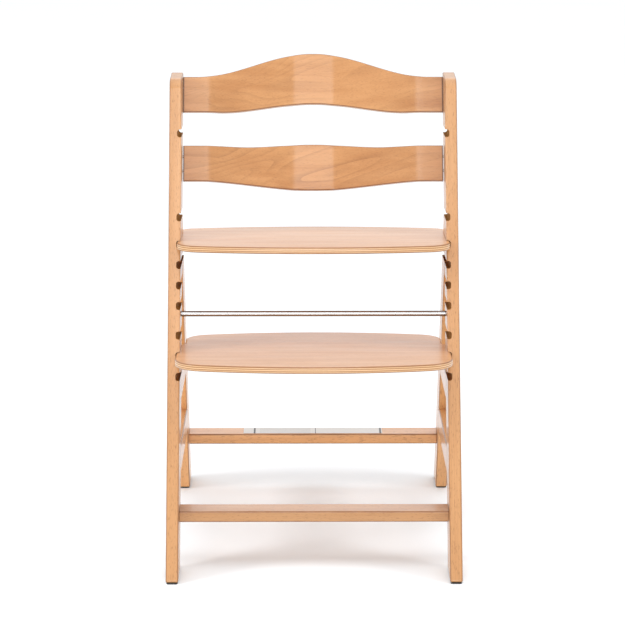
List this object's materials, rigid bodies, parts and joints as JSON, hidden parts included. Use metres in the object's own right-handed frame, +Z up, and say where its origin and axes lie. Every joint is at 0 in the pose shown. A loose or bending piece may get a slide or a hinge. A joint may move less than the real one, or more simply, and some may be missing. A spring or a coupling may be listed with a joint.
{
  "type": "baby high chair",
  "caption": "Free-standing wooden child's high chair with leaning grooved posts, splayed rear legs, sliding seat and foot plates, two curved back slats and a steel tie rod.",
  "frame": {"origin": "on the floor, at the middle of the footprint", "axes": "+Z up, the front faces -Y, X across the width, -X is named left"},
  "size_m": [0.47, 0.5416, 0.772],
  "materials": {
    "beech": "solid beech, clear satin lacquer",
    "plywood": "bent and flat beech plywood, clear satin lacquer",
    "steel": "satin",
    "glide": "matt",
    "label": "matt printed film with plain bars, no lettering"
  },
  "bodies": {
    "frame": {"left_post": "beech", "left_rear_leg": "beech", "left_lower_side_rail": "beech", "left_lower_side_rail_post_dowel": "beech", "left_lower_side_rail_leg_dowel": "beech", "left_upper_side_rail": "beech", "left_upper_side_rail_post_dowel": "beech", "left_upper_side_rail_leg_dowel": "beech", "left_leg_dowel_1": "beech", "left_leg_dowel_2": "beech", "left_front_glide": "glide", "left_rear_glide": "glide", "left_front_crossbar_bolt": "steel", "left_front_crossbar_barrel_nut": "steel", "left_front_crossbar_dowel": "beech", "left_rear_crossbar_bolt": "steel", "left_rear_crossbar_barrel_nut": "steel", "left_rear_crossbar_dowel": "beech", "left_tie_rod_bolt": "steel", "left_upper_back_slat_screw_1": "steel", "left_upper_back_slat_screw_2": "steel", "left_lower_back_slat_screw_1": "steel", "left_lower_back_slat_screw_2": "steel", "right_post": "beech", "right_rear_leg": "beech", "right_lower_side_rail": "beech", "right_lower_side_rail_post_dowel": "beech", "right_lower_side_rail_leg_dowel": "beech", "right_upper_side_rail": "beech", "right_upper_side_rail_post_dowel": "beech", "right_upper_side_rail_leg_dowel": "beech", "right_leg_dowel_1": "beech", "right_leg_dowel_2": "beech", "right_front_glide": "glide", "right_rear_glide": "glide", "right_front_crossbar_bolt": "steel", "right_front_crossbar_barrel_nut": "steel", "right_front_crossbar_dowel": "beech", "right_rear_crossbar_bolt": "steel", "right_rear_crossbar_barrel_nut": "steel", "right_rear_crossbar_dowel": "beech", "right_tie_rod_bolt": "steel", "right_upper_back_slat_screw_1": "steel", "right_upper_back_slat_screw_2": "steel", "right_lower_back_slat_screw_1": "steel", "right_lower_back_slat_screw_2": "steel", "front_crossbar": "beech", "rear_crossbar": "beech", "rear_crossbar_label": "label", "tie_rod": "steel", "upper_back_slat": "plywood", "lower_back_slat": "plywood"},
    "seat": {"seat_plate": "plywood"},
    "footrest": {"foot_plate": "plywood"}
  },
  "joints": [
    {"name": "seat_slide", "type": "slide", "parent": "frame", "child": "seat", "axis": [0, -0.9969, 0.0785], "range_m": [-0.03, 0.05]},
    {"name": "foot_slide", "type": "slide", "parent": "frame", "child": "footrest", "axis": [0, -0.9969, 0.0785], "range_m": [-0.03, 0.05]}
  ]
}
